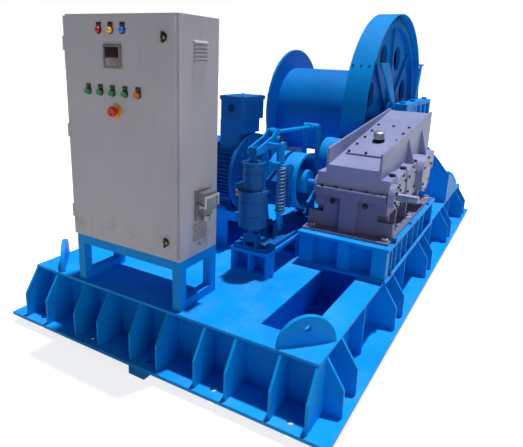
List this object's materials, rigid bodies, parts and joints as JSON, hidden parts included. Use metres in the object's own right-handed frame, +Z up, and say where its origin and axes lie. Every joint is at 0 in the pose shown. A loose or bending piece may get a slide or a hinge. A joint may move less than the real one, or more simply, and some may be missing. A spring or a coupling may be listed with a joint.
{
  "type": "electric winch",
  "caption": "Electric rope winch on a welded base: motor, drum brake, multi-stage gearbox, open gear, rope drum and control cabinet, with real joints.",
  "frame": {"origin": "on the ground under the middle of the base frame, packers standing on z = 0", "axes": "+X towards the gearbox side, +Y from the cabinet end towards the drum end, +Z up"},
  "size_m": [1.78, 3.55, 1.7558],
  "materials": {
    "blue_paint": "gloss machine enamel",
    "deep_blue_paint": "gloss machine enamel",
    "thruster_paint": "semi-gloss enamel",
    "gearbox_paint": "semi-gloss enamel",
    "cabinet_paint": "textured powder coat",
    "cast_iron": "as cast, oiled",
    "machined_steel": "turned and ground",
    "zinc_steel": "zinc plated",
    "spring_steel": "oiled spring wire",
    "black_plastic": "moulded",
    "lamp_plastic": "translucent lens",
    "green_plastic": "moulded",
    "orange_plastic": "moulded",
    "red_plastic": "moulded",
    "grey_connector": "die-cast shell"
  },
  "bodies": {
    "frame": {"base_plate": "blue_paint", "base_webs": "deep_blue_paint", "base_gussets": "blue_paint", "deck_plate": "blue_paint", "lifting_lugs": "blue_paint", "cabinet_stand": "cabinet_paint", "cabinet_body": "cabinet_paint", "cabinet_gear": "zinc_steel", "cable_connector": "grey_connector", "motor_frame": "blue_paint", "motor_body": "blue_paint", "motor_end_shields": "blue_paint", "fan_cowl": "blue_paint", "terminal_box": "blue_paint", "brake_pedestal": "blue_paint", "brake_base": "deep_blue_paint", "thruster_body": "thruster_paint", "gearbox_pedestal": "blue_paint", "lower_housing": "gearbox_paint", "upper_housing": "gearbox_paint", "inspection_cover": "gearbox_paint", "breather": "zinc_steel", "shaft_bearings": "machined_steel", "bearing_covers": "gearbox_paint", "gearbox_bolts": "zinc_steel", "drum_bearings": "cast_iron", "drum_pedestals": "blue_paint", "gear_guard": "blue_paint"},
    "door": {"cabinet_door": "cabinet_paint", "pilot_lamps": "lamp_plastic", "door_fittings": "zinc_steel", "panel_meter": "black_plastic"},
    "input_line": {"motor_rotor": "machined_steel", "brake_drum": "cast_iron", "input_shaft": "machined_steel"},
    "second_line": {"second_shaft": "machined_steel"},
    "third_line": {"third_shaft": "machined_steel"},
    "output_line": {"output_shaft": "machined_steel"},
    "drum_line": {"winding_drum": "blue_paint", "drum_flanges": "blue_paint", "bull_gear": "cast_iron", "drum_shaft": "machined_steel"},
    "near_arm_body": {"near_arm": "deep_blue_paint", "brake_spring": "spring_steel"},
    "far_arm_body": {"far_arm": "deep_blue_paint"},
    "near_shoe_body": {"near_shoe": "deep_blue_paint"},
    "far_shoe_body": {"far_shoe": "deep_blue_paint"},
    "lever_body": {"brake_lever": "blue_paint"},
    "tie_body": {"tie_rod": "machined_steel"},
    "lift_rod": {"thruster_rod": "machined_steel"},
    "spring_rod_body": {"spring_rod": "machined_steel"},
    "upper_latch_body": {"upper_latch": "zinc_steel"},
    "lower_latch_body": {"lower_latch": "zinc_steel"},
    "hoist_button_body": {"hoist_button": "green_plastic"},
    "lower_button_body": {"lower_button": "green_plastic"},
    "fast_button_body": {"fast_button": "green_plastic"},
    "slow_button_body": {"slow_button": "green_plastic"},
    "reset_button_body": {"reset_button": "orange_plastic"},
    "estop_button_body": {"estop_button": "red_plastic"},
    "connector_lever_body": {"connector_lever": "zinc_steel"}
  },
  "joints": [
    {"name": "input_spin", "type": "hinge", "parent": "frame", "child": "input_line", "pos_m": [0, -0.71, 0.729], "axis": [1, 0, 0], "continuous": true},
    {"name": "second_spin", "type": "hinge", "parent": "frame", "child": "second_line", "pos_m": [0, -0.55, 0.729], "axis": [1, 0, 0], "continuous": true},
    {"name": "third_spin", "type": "hinge", "parent": "frame", "child": "third_line", "pos_m": [0, -0.319, 0.729], "axis": [1, 0, 0], "continuous": true},
    {"name": "output_spin", "type": "hinge", "parent": "frame", "child": "output_line", "pos_m": [0, -0.0355, 0.729], "axis": [1, 0, 0], "continuous": true},
    {"name": "drum_spin", "type": "hinge", "parent": "frame", "child": "drum_line", "pos_m": [0, 0.76581, 0.981], "axis": [1, 0, 0], "continuous": true},
    {"name": "lift_slide", "type": "slide", "parent": "frame", "child": "lift_rod", "axis": [0, 0, 1], "range_m": [0, 0.05], "stiffness_N_per_m": 3000},
    {"name": "near_arm_hinge", "type": "hinge", "parent": "frame", "child": "near_arm_body", "pos_m": [0.18, -0.92, 0.516], "axis": [1, 0, 0], "range_deg": [0, 0.58]},
    {"name": "far_arm_hinge", "type": "hinge", "parent": "frame", "child": "far_arm_body", "pos_m": [0.18, -0.5, 0.516], "axis": [1, 0, 0], "range_deg": [-0.58, 0]},
    {"name": "near_shoe_hinge", "type": "hinge", "parent": "near_arm_body", "child": "near_shoe_body", "pos_m": [0.18, -0.95, 0.729], "axis": [1, 0, 0], "range_deg": [-0.58, 0]},
    {"name": "far_shoe_hinge", "type": "hinge", "parent": "far_arm_body", "child": "far_shoe_body", "pos_m": [0.18, -0.47, 0.729], "axis": [1, 0, 0], "range_deg": [0, 0.58]},
    {"name": "lever_hinge", "type": "hinge", "parent": "near_arm_body", "child": "lever_body", "pos_m": [0.18, -0.975, 0.991], "axis": [1, 0, 0], "range_deg": [-16.57, 0]},
    {"name": "tie_hinge", "type": "hinge", "parent": "lever_body", "child": "tie_body", "pos_m": [0.18, -0.96, 1.027], "axis": [1, 0, 0], "range_deg": [0, 16.75]},
    {"name": "spring_rod_slide", "type": "slide", "parent": "near_arm_body", "child": "spring_rod_body", "axis": [0, 0, 1], "range_m": [0, 0.0264], "deforming": ["brake_spring"]},
    {"name": "door_hinge", "type": "hinge", "parent": "frame", "child": "door", "pos_m": [-0.496, -1.67, 1.044], "axis": [0, 0, -1], "range_deg": [0, 110]},
    {"name": "upper_latch_turn", "type": "hinge", "parent": "door", "child": "upper_latch_body", "pos_m": [0.075, -1.673, 1.455], "axis": [0, -1, 0], "range_deg": [0, 90]},
    {"name": "lower_latch_turn", "type": "hinge", "parent": "door", "child": "lower_latch_body", "pos_m": [0.075, -1.673, 0.629], "axis": [0, -1, 0], "range_deg": [0, 90]},
    {"name": "hoist_button_press", "type": "slide", "parent": "door", "child": "hoist_button_body", "axis": [0, 1, 0], "range_m": [0, 0.005], "stiffness_N_per_m": 400},
    {"name": "lower_button_press", "type": "slide", "parent": "door", "child": "lower_button_body", "axis": [0, 1, 0], "range_m": [0, 0.005], "stiffness_N_per_m": 400},
    {"name": "fast_button_press", "type": "slide", "parent": "door", "child": "fast_button_body", "axis": [0, 1, 0], "range_m": [0, 0.005], "stiffness_N_per_m": 400},
    {"name": "slow_button_press", "type": "slide", "parent": "door", "child": "slow_button_body", "axis": [0, 1, 0], "range_m": [0, 0.005], "stiffness_N_per_m": 400},
    {"name": "reset_button_press", "type": "slide", "parent": "door", "child": "reset_button_body", "axis": [0, 1, 0], "range_m": [0, 0.005], "stiffness_N_per_m": 400},
    {"name": "estop_press", "type": "slide", "parent": "door", "child": "estop_button_body", "axis": [0, 1, 0], "range_m": [0, 0.005]},
    {"name": "connector_lever_swing", "type": "hinge", "parent": "frame", "child": "connector_lever_body", "pos_m": [0.157, -1.5115, 0.769], "axis": [0, 1, 0], "range_deg": [0, 90]}
  ],
  "couplings": [
    {"joint": "second_spin", "follows": "input_spin", "ratio": -0.23077},
    {"joint": "third_spin", "follows": "input_spin", "ratio": 0.075597},
    {"joint": "output_spin", "follows": "input_spin", "ratio": -0.030239},
    {"joint": "drum_spin", "follows": "input_spin", "ratio": 0.0042729},
    {"joint": "near_arm_hinge", "follows": "lift_slide", "rad_per_m": 0.202},
    {"joint": "far_arm_hinge", "follows": "lift_slide", "rad_per_m": -0.202},
    {"joint": "near_shoe_hinge", "follows": "lift_slide", "rad_per_m": -0.202},
    {"joint": "far_shoe_hinge", "follows": "lift_slide", "rad_per_m": 0.202},
    {"joint": "lever_hinge", "follows": "lift_slide", "rad_per_m": -5.7803},
    {"joint": "tie_hinge", "follows": "lift_slide", "rad_per_m": 5.845},
    {"joint": "spring_rod_slide", "follows": "lift_slide", "ratio": 0.52601}
  ]
}
